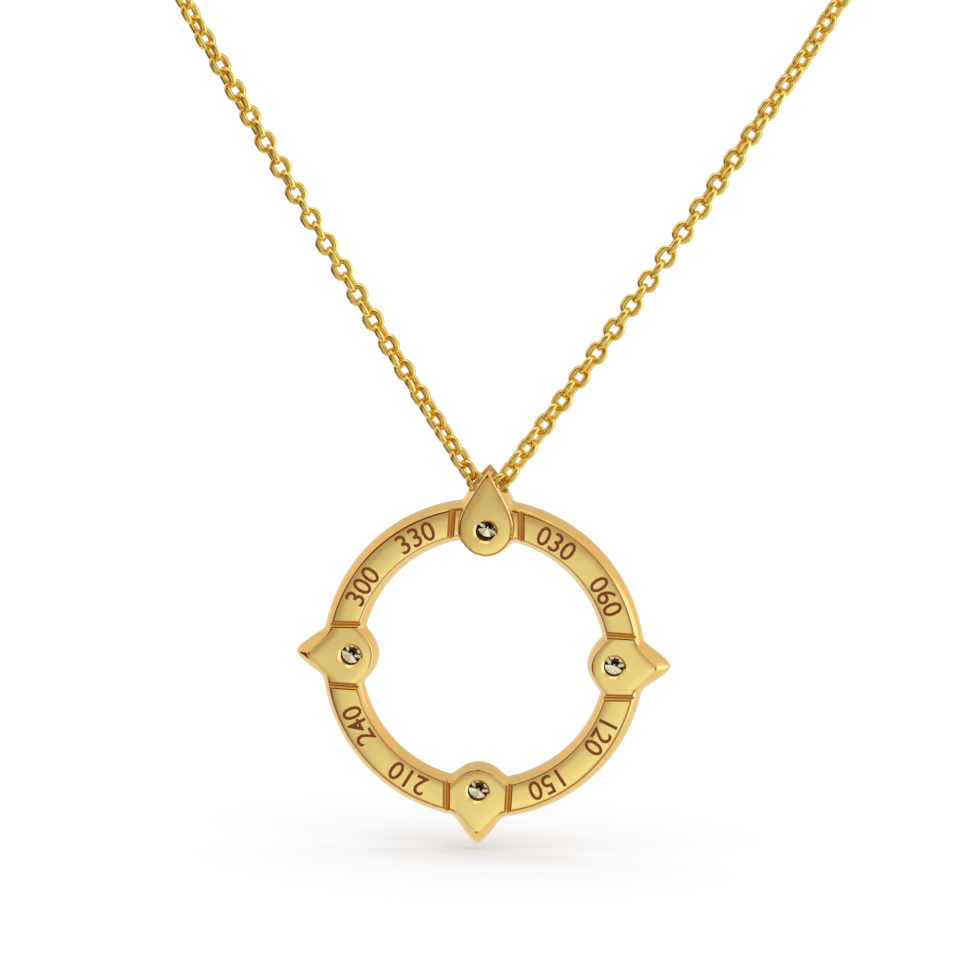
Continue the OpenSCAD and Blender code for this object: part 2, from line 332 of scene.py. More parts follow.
@dataclass(frozen=True)
class PolishedGold:
    """18 carat yellow gold, cast or drawn and buffed on a felt wheel.

    The eye sees the studio mirrored in warm yellow, deeper where gold mirrors gold, and a very
    faint swirl of buffing lines. The real lines are finer and wouldn't show, so they are drawn
    coarser here. A duller finish of the same gold has a higher roughness.
    """

    name: str
    colour: str
    roughness: float
    swirl_mm: float = 0.35
    uneven: tuple[float, float] = (0.75, 1.3)
    line_mm: float = 0.09
    line_h: float = 0.02
    line_strength: float = 0.035
    line_stretch: float = 0.12
    line_turn: float = 0.5
    wave_mm: float = 3.0
    wave_h: float = 0.03

    def build(self) -> bpy.types.Material:
        """Returns the material."""
        material = bpy.data.materials.new(self.name)
        material.use_nodes = True
        tree = material.node_tree
        shader = tree.nodes["Principled BSDF"]
        shader.inputs["Base Color"].default_value = linear(self.colour)
        shader.inputs["Metallic"].default_value = 1.0
        place = add_node(tree, "ShaderNodeTexCoord")
        swirl = add_node(tree, "ShaderNodeTexNoise", inputs={
            "Vector": place.outputs["Object"], "Scale": 1 / (self.swirl_mm * MM), "Detail": 3.0})
        spread = add_node(tree, "ShaderNodeMapRange", inputs={
            "Value": swirl.outputs["Fac"], "From Min": 0.3, "From Max": 0.7,
            "To Min": self.roughness * self.uneven[0], "To Max": self.roughness * self.uneven[1]})
        stretch = add_node(tree, "ShaderNodeMapping", inputs={
            "Vector": place.outputs["Object"], "Rotation": (0.0, self.line_turn, 0.0),
            "Scale": (self.line_stretch, 1.0, 1.0)})
        lines = add_node(tree, "ShaderNodeTexNoise", inputs={
            "Vector": stretch.outputs["Vector"], "Scale": 1 / (self.line_mm * MM), "Detail": 2.0})
        waves = add_node(tree, "ShaderNodeTexNoise", inputs={
            "Vector": place.outputs["Object"], "Scale": 1 / (self.wave_mm * MM), "Detail": 0.0})
        worn = add_node(tree, "ShaderNodeBump", inputs={
            "Height": waves.outputs["Fac"], "Strength": 1.0, "Distance": self.wave_h * MM})
        bump = add_node(tree, "ShaderNodeBump", inputs={
            "Height": lines.outputs["Fac"], "Strength": self.line_strength,
            "Distance": self.line_h * MM, "Normal": worn.outputs["Normal"]})
        tree.links.new(spread.outputs["Result"], shader.inputs["Roughness"])
        tree.links.new(bump.outputs["Normal"], shader.inputs["Normal"])
        return material


@dataclass(frozen=True)
class BurntCutAndPaintedShade:
    """Gold burnt by the engraver's laser, and the drilled walls of the stones' holes.

    The eye sees a brown, nearly matt floor with a fine grain, darker than the polished gold. In the
    figures the brown is the burnt gold's own colour. On the holes' walls it is painted shade, standing
    in for the dark inside the holes.
    """

    name: str = "laser_darkened_gold"
    colour: str = "#8a3c14"
    pale: str = "#a85a28"
    metallic: float = 0.5
    roughness: float = 0.55
    grain_mm: float = 0.06
    grain_h: float = 0.02
    grain_strength: float = 0.3

    def build(self) -> bpy.types.Material:
        """Returns the material."""
        material = bpy.data.materials.new(self.name)
        material.use_nodes = True
        tree = material.node_tree
        shader = tree.nodes["Principled BSDF"]
        shader.inputs["Metallic"].default_value = self.metallic
        shader.inputs["Roughness"].default_value = self.roughness
        place = add_node(tree, "ShaderNodeTexCoord")
        grain = add_node(tree, "ShaderNodeTexNoise", inputs={
            "Vector": place.outputs["Object"], "Scale": 1 / (self.grain_mm * MM), "Detail": 2.0})
        tone = add_node(tree, "ShaderNodeMix", {"data_type": "RGBA"}, {
            "Factor": grain.outputs["Fac"], MIX_A: linear(self.colour), MIX_B: linear(self.pale)})
        bump = add_node(tree, "ShaderNodeBump", inputs={
            "Height": grain.outputs["Fac"], "Strength": self.grain_strength,
            "Distance": self.grain_h * MM})
        tree.links.new(tone.outputs[MIX_OUT], shader.inputs["Base Color"])
        tree.links.new(bump.outputs["Normal"], shader.inputs["Normal"])
        return material


@dataclass(frozen=True)
class CutDiamond:
    """Colourless diamond, cut and polished to sharp facets that bend light strongly."""

    name: str = "brilliant_cut_diamond"
    # The cream tint is painted reflection of the gold around the stone. The stone itself is colourless.
    colour: str = "#ece3ba"
    ior: float = 2.42

    def build(self) -> bpy.types.Material:
        """Returns the material."""
        material = bpy.data.materials.new(self.name)
        material.use_nodes = True
        shader = material.node_tree.nodes["Principled BSDF"]
        shader.inputs["Base Color"].default_value = linear(self.colour)
        shader.inputs["Roughness"].default_value = 0.0
        shader.inputs["IOR"].default_value = self.ior
        shader.inputs["Transmission Weight"].default_value = 1.0
        return material


@dataclass(frozen=True)
class WhitePaper:
    """Matt white studio paper, rolled smooth: the eye sees an even white with soft shadows."""

    name: str = "matt_studio_paper"
    colour: str = "#f9fafc"
    roughness: float = 0.9
    specular: float = 0.1

    def build(self) -> bpy.types.Material:
        """Returns the material."""
        material = bpy.data.materials.new(self.name)
        material.use_nodes = True
        shader = material.node_tree.nodes["Principled BSDF"]
        shader.inputs["Base Color"].default_value = linear(self.colour)
        shader.inputs["Roughness"].default_value = self.roughness
        shader.inputs["Specular IOR Level"].default_value = self.specular
        return material


@dataclass
class Drop:
    """A drop-shaped outline that is the same on both sides of its axis.

    Its points run from the root to the tip, as distance across and distance outwards.
    """

    half: list[Vector]

    @classmethod
    def from_shares(cls, table: list[tuple[float, float]], root: float, tip: float,
                    half_w: float, steps: int = 6) -> "Drop":
        """Draws a smooth outline through a table of shares.

        Args:
            table: share of the length and share of the half width of each point.
            root: distance of the root from the ring's centre.
            tip: distance of the tip from the ring's centre.
            half_w: half of the greatest width.
            steps: steps from each point to the next.

        Returns:
            The outline.
        """
        points = [Vector((wide * half_w, mix(root, tip, along))) for along, wide in table]
        before = Vector((-points[1].x, points[1].y))
        after = Vector((-points[-2].x, points[-2].y))
        return cls(catmull([before, *points, after], steps))

    def towards(self, other: "Drop", share: float) -> "Drop":
        """Returns the outline a share of the way to another one."""
        return Drop([a.lerp(b, share) for a, b in zip(self.half, other.half)])

    def shrunk(self, share: float, centre: float) -> "Drop":
        """Returns the outline shrunk to a share of its size about a point on the axis."""
        middle = Vector((0, centre))
        return Drop([middle.lerp(point, share) for point in self.half])

    def loop(self, height: float) -> list[Vector]:
        """Draws the whole closed outline.

        Args:
            height: its height.

        Returns:
            Its points, up the right side from the root and down the left.
        """
        right = [Vector((p.x, p.y, height)) for p in self.half]
        left = [Vector((-p.x, p.y, height)) for p in reversed(self.half[1:-1])]
        return right + left

    def reach(self) -> tuple[Callable[[float], float], Callable[[float], float]]:
        """Splits the outline where it is widest as seen from the ring's centre.

        Returns:
            The inner and the outer distance from the centre, each by angle off the axis.
        """
        polar = [(math.atan2(p.x, p.y), p.length) for p in self.half]
        widest = max(range(len(polar)), key=lambda i: polar[i][0])
        inner = polar[:widest + 1]
        outer = polar[:widest - 1:-1]

        def across(branch: list[tuple[float, float]], missing: float, angle: float) -> float:
            """Looks up a radius along one branch.

            Args:
                branch: angle off the axis and radius of each point, by angle.
                missing: the value past the branch's end.
                angle: the angle off the axis.

            Returns:
                The radius there.
            """
            turn = abs(angle)
            place = bisect.bisect_left(branch, (turn, 0.0))
            if place >= len(branch):
                return missing
            if place == 0:
                return branch[0][1]
            (low, near), (high, far) = branch[place - 1], branch[place]
            return mix(near, far, (turn - low) / max(high - low, 1e-9))

        outer.sort()
        return (lambda angle: across(inner, 99.0, angle)), (lambda angle: across(outer, 0.0, angle))


@dataclass
class Ring:
    """The flat ring with its points: the pendant's frame, cast in one piece."""

    outer_r: float = 10.75
    band_w: float = 2.67
    depth: float = 1.6
    flare: float = 0.38
    crown: float = 0.35
    inner_bevel: float = 0.55
    plate_bevel: float = 0.8
    groove_bevel: float = 0.85
    barrel: float = 1.6
    pillow_w: float = 0.6
    pillow_h: float = 0.02
    outer_blend: float = 0.22
    inner_blend: float = 0.4
    plate_half_w: float = 1.82
    plate_reach: float = 0.95
    plate_root: float = 0.8
    point_flare: float = 0.35
    tip_flare: float = 0.75
    north_half_w: float = 1.8
    north_reach: float = 1.8
    north_root: float = 1.02
    north_tip_flare: float = 0.4
    north_back_t: float = 0.45
    north_front_t: float = 0.6
    sunk: float = 0.03
    bridge_r: float = 0.2
    bridge_drop: float = 0.2
    bridge_root: float = 0.05
    slot_half: float = 0.88
    groove_v: float = 2.06
    north_groove_v: float = 2.3
    groove_half_w: float = 0.08
    groove_d: float = 0.225
    groove_round: float = 0.35
    groove_lean_deg: float = 1.6
    stone_inset: float = 0.68
    stone_r: float = 1.05
    table_share: float = 0.57
    crown_share: float = 0.15
    pavilion_share: float = 0.43
    girdle_t: float = 0.06
    clearance: float = 0.04
    hole_r: float = 0.67
    hole_bevel: float = 0.15
    hole_bevel_slope: float = 0.87
    collar_wall: float = 0.26
    collar_round: float = 1.6
    lip_share: float = 0.4
    # Height of a digit, its share of the type's size, and how far its strokes are thickened.
    digit_h: float = 1.3
    digit_share: float = 0.7
    digit_bold: float = 0.015
    digit_gap: float = 0.93
    text_r: float = 9.38
    cut_depth: float = 0.08
    # Sides of turned seats and collars, of the slot and of the bridge, and the least sharp edge.
    seat_sides: int = 64
    slot_sides: int = 96
    bridge_sides: int = 32
    sharp_deg: float = 22.0

    # Sides of the north point below its plate: share of the way down, share of the flare.
    north_roll: list[tuple[float, float]] = field(default_factory=lambda: [
        (0.1, 0.05), (0.2, 0.17), (0.3, 0.34), (0.4, 0.5), (0.5, 0.64), (0.62, 0.79), (0.76, 0.92),
        (0.9, 0.985), (1.0, 1.0)])

    # The slot's rounded trough: distance from the bridge's axis, distance from the middle plane.
    trough: list[tuple[float, float]] = field(default_factory=lambda: [
        (0.0, 0.88), (1.05, 0.88), (1.2, 0.84), (1.36, 0.75), (1.5, 0.61), (1.6, 0.44), (1.66, 0.26),
        (1.69, 0.08)])

    def __post_init__(self) -> None:
        """Works out the sizes that follow from the driving ones."""
        self.inner_r: float = self.outer_r - self.band_w
        self.back_z: float = self.depth / 2
        self.wide_z: float = self.back_z - self.depth + self.crown
        self.north_tip: float = self.outer_r + self.north_reach
        self.bridge_u: float = self.north_tip - self.bridge_drop
        self.stone_u: float = self.inner_r + self.stone_inset
        self.north_back_z: float = self.slot_half + self.north_back_t
        self.north_front_z: float = -self.slot_half - self.north_front_t
        self.stone_z: float = self.back_z - self.depth - self.girdle_t / 2
        self.north_stone_z: float = self.north_front_z - self.girdle_t / 2
        root = self.inner_r - self.plate_root
        tip = self.outer_r + self.plate_reach
        self.plate: Drop = Drop.from_shares(PLATE, root, tip, self.plate_half_w)
        body_w = self.plate_half_w + self.point_flare
        self.body: Drop = Drop.from_shares(BODY, root - self.point_flare, tip + self.tip_flare, body_w)
        self.north_plate: Drop = Drop.from_shares(
            NORTH_PLATE, self.inner_r - self.north_root, self.north_tip, self.north_half_w)
        self.north_body: Drop = Drop.from_shares(
            NORTH_BODY, root - self.point_flare, self.north_tip + self.north_tip_flare, body_w)

    def hang(self) -> Matrix:
        """Returns the transform from the flat drawing to the pendant's place on the chain."""
        return (Matrix.Translation(BRIDGE) @ Matrix.Rotation(math.radians(90), 4, "X")
                @ Matrix.Scale(MM, 4) @ Matrix.Translation((0, -self.bridge_u, 0)))

    def stations(self) -> list[float]:
        """Returns the bearings of the shell's sections, close together near each point."""
        eighth = [start + step * i for start, step, count in SECTIONS for i in range(count)]
        quarter = [a for a in eighth if a < 45] + [90 - a for a in reversed(eighth) if 0 < a <= 45]
        return [90 * turn + a for turn in range(4) for a in quarter]

    def rims(self, height: float) -> tuple[list[float], list[float]]:
        """Works out the shell's inner and outer radius at each station.

        Args:
            height: the height of the level, no lower than the widest line.

        Returns:
            The inner and the outer radii.
        """
        foot = self.back_z - BEVEL[-1][1]
        share = (foot - height) / (foot - self.wide_z)
        share = min(max(share, 0.0), 1.0)
        share = 1 - (1 - share) ** self.barrel
        near, far = self.plate.towards(self.body, share).reach()
        down = (self.north_back_z - height) / (self.north_back_z - self.wide_z)
        north = self.north_plate.towards(self.north_body, self.roll(down))
        north_near, north_far = north.reach()
        inner, outer = [], []
        for bearing in self.stations():
            off = math.radians((bearing + 45) % 90 - 45)
            is_north = min(bearing, 360 - bearing) <= 45
            low = north_near(off) + self.sunk if is_north else near(off)
            high = north_far(off) - self.sunk if is_north else far(off)
            ring_in = self.inner_r + self.flare * (1 - share)
            ring_out = self.outer_r - self.flare * (1 - share)
            inner.append(-soft_max(-ring_in, -low, self.inner_blend))
            outer.append(soft_max(ring_out, high, self.outer_blend))
        return inner, outer

    def roll(self, down: float) -> float:
        """Looks up how far the north point's sides are rolled outwards.

        Args:
            down: share of the way down its sides.

        Returns:
            The share of its flare.
        """
        table = [(0.0, 0.0), *self.north_roll]
        for (low, near), (high, far) in zip(table, table[1:]):
            if down <= high:
                return mix(near, far, (down - low) / (high - low))
        return 1.0

    def edging(self, scale: float, depths: tuple[float, ...]) -> list[tuple[float, float]]:
        """Draws the section of a cushioned flat's rim down to the foot of its bevel.

        Args:
            scale: the bevel's size, as a share of the full bevel.
            depths: distances of the cushion's lines inside the bevel, the innermost first.

        Returns:
            How far in and how far down each line lies, from the middle outwards.
        """
        cushion = [(BEVEL[0][0] * scale + depth, self.pillow_h * max(1 - depth / self.pillow_w, 0) ** 2)
                   for depth in depths]
        return cushion + [(inset * scale, self.pillow_h + drop * scale) for inset, drop in BEVEL]

    def shell(self) -> bmesh.types.BMesh:
        """Draws the ring with its east, south and west points as one closed shell.

        Returns:
            The shell, without its grooves, holes and figures.
        """
        bearings = [math.radians(b) for b in self.stations()]

        def loop(radii: list[float], height: float) -> list[Vector]:
            """Returns the points of one level."""
            return [Vector((r * math.sin(b), r * math.cos(b), height)) for r, b in zip(radii, bearings)]

        inner, outer = self.rims(self.back_z)
        middle = loop([mix(a, b, 0.5) for a, b in zip(inner, outer)], self.back_z)
        shell = Loops(middle)
        for inset, drop in self.edging(1, CUSHION):
            shell.grow(loop([r - inset for r in outer], self.back_z - drop))
        foot = self.back_z - self.pillow_h - BEVEL[-1][1]
        levels = [mix(foot, self.wide_z, share) for share in (0.1, 0.25, 0.45, 0.7, 1)]
        for height in levels:
            shell.grow(loop(self.rims(height)[1], height))
        low_inner, low_outer = self.rims(self.wide_z)
        for turn in range(15, 180, 15):
            angle = math.radians(turn)
            share = (1 - math.cos(angle)) / 2
            radii = [mix(a, b, share) for a, b in zip(low_outer, low_inner)]
            shell.grow(loop(radii, self.wide_z - self.crown * math.sin(angle)))
        for height in reversed(levels):
            shell.grow(loop(self.rims(height)[0], height))
        for inset, drop in reversed(self.edging(self.inner_bevel, CUSHION)):
            shell.grow(loop([r + inset for r in inner], self.back_z - drop))
        shell.grow(middle)
        return shell.finish()

    def north_point(self) -> bmesh.types.BMesh:
        """Draws the north point, which stands out on both faces, as one closed shell.

        Returns:
            The shell, without its slot and hole.
        """
        edging = self.edging(self.plate_bevel, (1.2, *CUSHION))
        loops = [self.north_plate.shrunk(1 - inset / self.north_half_w, self.stone_u).loop(
            self.north_back_z - drop) for inset, drop in edging]
        shell = Loops(loops[0])
        shell.cap()
        for loop in loops[1:]:
            shell.grow(loop)
        foot = self.north_back_z - edging[-1][1]
        for down, flare in self.north_roll:
            outline = self.north_plate.towards(self.north_body, flare)
            shell.grow(outline.loop(mix(foot, self.wide_z, down)))
        shell.grow(self.north_body.loop(self.north_front_z + self.crown))
        for turn in (20, 40, 60, 78):
            angle = math.radians(turn)
            outline = self.north_body.shrunk(mix(1.0, 0.72, 1 - math.cos(angle)), self.stone_u)
            shell.grow(outline.loop(self.north_front_z + self.crown * (1 - math.sin(angle))))
        shell.grow(self.north_body.shrunk(0.5, self.stone_u).loop(self.north_front_z))
        shell.cap()
        return shell.finish()

    def groove(self, bearing: Bearing, side: int) -> bmesh.types.BMesh:
        """Draws the cutter of one groove.

        Args:
            bearing: the point that the groove lies beside.
            side: 1 for the groove clockwise of the point, -1 for the other.

        Returns:
            The cutter, in its place.
        """
        offset = self.north_groove_v if bearing is Bearing.NORTH else self.groove_v
        half = self.groove_half_w
        bevel = [(half + inset * self.groove_bevel, drop * self.groove_bevel) for inset, drop in BEVEL]
        edge = [(bevel[0][0], -self.band_w), *bevel]
        bottom = [(share * half, self.groove_d * (1 - self.groove_round * share * share))
                  for share in (-0.8, -0.4, 0, 0.4, 0.8)]
        section = [*((-across, down) for across, down in edge), *bottom, *reversed(edge)]
        bm = bmesh.new()
        verts = [bm.verts.new((across, 0, self.back_z - self.pillow_h / 2 - down))
                 for across, down in section]
        face = bm.faces.new(verts)
        made = bmesh.ops.extrude_face_region(bm, geom=[face])["geom"]
        length = self.band_w + 2 * self.flare
        bmesh.ops.translate(bm, vec=(0, length, 0),
                            verts=[v for v in made if isinstance(v, bmesh.types.BMVert)])
        place = (Matrix.Rotation(-math.radians(bearing.value), 4, "Z") @ Matrix.Scale(side, 4, (1, 0, 0))
                 @ Matrix.Translation((offset, self.inner_r + self.band_w / 2, 0))
                 @ Matrix.Rotation(math.radians(self.groove_lean_deg), 4, "Z")
                 @ Matrix.Translation((0, -length / 2, 0)))
        for face in bm.faces:
            if face.calc_center_median().z < self.back_z - bevel[-1][1] - self.pillow_h:
                face.material_index = Finish.DULL.value
        bmesh.ops.transform(bm, matrix=place, verts=bm.verts)
        bmesh.ops.recalc_face_normals(bm, faces=bm.faces)
        return bm

    def at_stone(self, bearing: Bearing) -> Matrix:
        """Works out a stone's place in the drawing.

        Args:
            bearing: the point that holds the stone.

        Returns:
            The transform from the stone's own axis, crown up.
        """
        height = self.north_stone_z if bearing is Bearing.NORTH else self.stone_z
        return (Matrix.Rotation(-math.radians(bearing.value), 4, "Z")
                @ Matrix.Translation((0, self.stone_u, height)) @ Matrix.Rotation(math.pi, 4, "Y"))

    def seat(self, bearing: Bearing) -> bmesh.types.BMesh:
        """Draws the cutter of one stone's seat and of the open hole behind it.

        Args:
            bearing: the point that holds the stone.

        Returns:
            The cutter, in its place.
        """
        stone = 2 * self.stone_r
        face_z = self.north_back_z if bearing is Bearing.NORTH else self.back_z
        girdle_z = self.north_stone_z if bearing is Bearing.NORTH else self.stone_z
        wall = self.stone_r + self.clearance
        slope = stone * self.pavilion_share / self.stone_r
        low = self.girdle_t / 2 + self.clearance
        lip_h = stone * self.crown_share * self.lip_share
        lip_r = wall - self.stone_r * (1 - self.table_share) * self.lip_share
        back = girdle_z - face_z
        foot = back + self.hole_bevel * self.hole_bevel_slope
        wide = self.hole_r + self.hole_bevel
        profile = [(0, back - self.depth), (wide, back - self.depth), (wide, back), (self.hole_r, foot)]
        profile += [(self.hole_r, -low - (wall - self.hole_r) * slope), (wall, -low), (wall, low),
                    (lip_r, low + lip_h), (lip_r, self.depth), (0, self.depth)]
        bm = lathe(profile, self.seat_sides)
        # The seat's and the hole's walls take the brown finish: painted shade inside the hole.
        for face in bm.faces:
            if foot < face.calc_center_median().z < low:
                face.material_index = Finish.PAINTED_SHADE_IN_SEATS.value
        bmesh.ops.transform(bm, matrix=self.at_stone(bearing), verts=bm.verts)
        return bm

    def collar(self, bearing: Bearing) -> bmesh.types.BMesh:
        """Draws the rim that is rubbed over one stone's edge on the front.

        Args:
            bearing: the point that holds the stone.

        Returns:
            The collar, in its place.
        """
        wall = self.stone_r + self.clearance + self.collar_wall
        lip_h = 2 * self.stone_r * self.crown_share * self.lip_share
        top = self.girdle_t / 2 + self.clearance + lip_h
        fillet = lip_h * self.collar_round
        profile = [(0, -self.crown), (wall, -self.crown), (wall, top - fillet)]
        for turn in (20, 40, 60, 80):
            angle = math.radians(turn)
            profile.append((wall - fillet * (1 - math.cos(angle)), top - fillet * (1 - math.sin(angle))))
        profile.append((0, top))
        bm = lathe(profile, self.seat_sides)
        bmesh.ops.transform(bm, matrix=self.at_stone(bearing), verts=bm.verts)
        return bm

    def figures(self) -> bmesh.types.BMesh:
        """Draws the cutters of the plain bearing figures on the back.

        Returns:
            All the cutters, in their places.
        """
        bm = bmesh.new()
        for bearing in range(30, 360, 30):
            if bearing % 90:
                for place, digit in enumerate(f"{bearing:03d}"):
                    turn = math.radians(bearing) + (place - 1) * self.digit_gap / self.text_r
                    self.add_digit(bm, digit, turn)
        bmesh.ops.remove_doubles(bm, verts=bm.verts, dist=1e-4)
        bmesh.ops.recalc_face_normals(bm, faces=bm.faces)
        for face in bm.faces:
            face.material_index = Finish.BURNT.value
        return bm

    def add_digit(self, bm: bmesh.types.BMesh, digit: str, turn: float) -> None:
        """Adds the cutter of one digit.

        Args:
            bm: the bmesh that takes it.
            digit: the digit.
            turn: its bearing, in radians.
        """
        curve = bpy.data.curves.new("digit", "FONT")
        curve.body = digit
        curve.size = self.digit_h / self.digit_share
        curve.align_x = "CENTER"
        curve.extrude = self.cut_depth
        curve.offset = self.digit_bold
        curve.resolution_u = 3
        text = bpy.data.objects.new("digit", curve)
        bpy.context.scene.collection.objects.link(text)
        mesh = bpy.data.meshes.new_from_object(text.evaluated_get(bpy.context.evaluated_depsgraph_get()))
        place = Matrix.Translation((0, self.text_r - self.digit_h / 2, self.back_z))
        mesh.transform(Matrix.Rotation(-turn, 4, "Z") @ place)
        bm.from_mesh(mesh)
        bpy.data.objects.remove(text)
        bpy.data.curves.remove(curve)
        bpy.data.meshes.remove(mesh)

    def slot(self) -> bmesh.types.BMesh:
        """Draws the cutter of the chain's slot behind the north plate.

        Returns:
            The cutter, in its place.
        """
        profile = [(r, -z) for r, z in self.trough] + [(r, z) for r, z in reversed(self.trough)]
        bm = lathe(profile, self.slot_sides)
        # The slot takes the rough gold that is painted paler: painted light in the shaded slot.
        for face in bm.faces:
            face.material_index = Finish.SATIN_PAINTED_PALER.value
        bmesh.ops.translate(bm, vec=(0, self.bridge_u, 0), verts=bm.verts)
        return bm

    def bridge(self) -> bmesh.types.BMesh:
        """Draws the round bar that hangs on the chain, with its web up to the tip.

        Returns:
            The bar and its web, in their places.
        """
        half = self.slot_half + self.bridge_root
        profile = [(0, -half), (self.bridge_r, -half), (self.bridge_r, half), (0, half)]
        bm = lathe(profile, self.bridge_sides)
        bmesh.ops.translate(bm, vec=(0, self.bridge_u, 0), verts=bm.verts)
        web = bmesh.ops.create_cube(bm, size=1)["verts"]
        rise = self.bridge_drop
        place = (Matrix.Translation((0, self.bridge_u + rise / 2, 0))
                 @ Matrix.Diagonal((self.bridge_r, rise, 2 * half, 1)))
        bmesh.ops.transform(bm, matrix=place, verts=web)
        # The bridge takes the rough gold that is painted paler: painted light in the shaded slot.
        for face in bm.faces:
            face.material_index = Finish.SATIN_PAINTED_PALER.value
        return bm

    def build(self, finishes: dict[Finish, bpy.types.Material]) -> bpy.types.Object:
        """Builds the frame and hangs it in its place.

        Args:
            finishes: the material of each finish.

        Returns:
            The finished piece.
        """
        slots = [finishes[finish] for finish in Finish]
        piece = as_object("pendant_back_and_rim", self.shell(), *slots)
        steps = [(self.north_point(), Cut.ADD), (self.slot(), Cut.TAKE)]
        steps += [(self.groove(bearing, side), Cut.TAKE) for bearing in Bearing for side in (-1, 1)]
        steps.append((self.bridge(), Cut.ADD))
        for bearing in Bearing:
            steps += [(self.collar(bearing), Cut.ADD), (self.seat(bearing), Cut.TAKE)]
        steps.append((self.figures(), Cut.TAKE))
        for solid, way in steps:
            combine(piece, as_object("tool", solid, *slots), way)
        shade(piece, self.sharp_deg)
        piece.data.transform(self.hang())
        return piece


@dataclass
class Brilliant:
    """A round brilliant cut, ground facet by facet from a short cylinder."""

    ring: Ring
    star_deg: float = 21.0
    upper_deg: float = 40.5
    lower_deg: float = 42.0
    # How far the north stone is turned in its seat, and how much more each stone after it.
    turn_deg: float = 7.0
    turn_step_deg: float = 10.0

    def cut(self) -> bmesh.types.BMesh:
        """Grinds the stone on its own axis, crown up.

        Returns:
            The stone.
        """
        ring = self.ring
        radius = ring.stone_r
        top = ring.girdle_t / 2 + 2 * radius * ring.crown_share
        bottom = -ring.girdle_t / 2 - 2 * radius * ring.pavilion_share
        table_r = radius * ring.table_share
        main = math.atan2(top - ring.girdle_t / 2, radius - table_r)
        deep = math.atan2(-bottom - ring.girdle_t / 2, radius)
        edge = Vector((radius, 0, ring.girdle_t / 2))
        under = Vector((radius, 0, -ring.girdle_t / 2))
        star_at = Vector((table_r * math.cos(math.pi / 8), 0, top))
        planes = [(Vector((0, 0, top)), 0.0, 0.0)]
        planes += [(edge, main, k * 45.0) for k in range(8)]
        planes += [(star_at, math.radians(self.star_deg), k * 45.0 + 22.5) for k in range(8)]
        planes += [(edge, math.radians(self.upper_deg), k * 22.5 + 11.25) for k in range(16)]
        planes += [(under, math.pi - deep, k * 45.0) for k in range(8)]
        planes += [(under, math.pi - math.radians(self.lower_deg), k * 22.5 + 11.25) for k in range(16)]
        bm = bmesh.new()
        bmesh.ops.create_cone(bm, cap_ends=True, segments=32, radius1=radius, radius2=radius,
                              depth=2 * (top - bottom))
        for point, tilt, azimuth in planes:
            turn = Matrix.Rotation(math.radians(azimuth), 3, "Z")
            normal = turn @ Vector((math.sin(tilt), 0, math.cos(tilt)))
            cut = bmesh.ops.bisect_plane(bm, geom=[*bm.verts, *bm.edges, *bm.faces], dist=1e-6,
                                         plane_co=turn @ point, plane_no=normal, clear_outer=True)
            rim = [item for item in cut["geom_cut"] if isinstance(item, bmesh.types.BMEdge)]
            if len(rim) > 2:
                bmesh.ops.edgeloop_fill(bm, edges=rim)
        bmesh.ops.recalc_face_normals(bm, faces=bm.faces)
        return bm

    def build(self, bearing: Bearing, diamond: bpy.types.Material) -> bpy.types.Object:
        """Sets one stone in its seat.

        Args:
            bearing: the point that holds it.
            diamond: the stone's finish.

        Returns:
            The finished piece.
        """
        stone = self.cut()
        turn = math.radians(self.turn_deg + self.turn_step_deg * bearing.value / 90)
        bmesh.ops.rotate(stone, cent=(0, 0, 0), verts=stone.verts, matrix=Matrix.Rotation(turn, 3, "Z"))
        piece = as_object(f"brilliant_{bearing.name.lower()}", stone, diamond)
        piece.data.transform(self.ring.hang() @ self.ring.at_stone(bearing))
        return piece


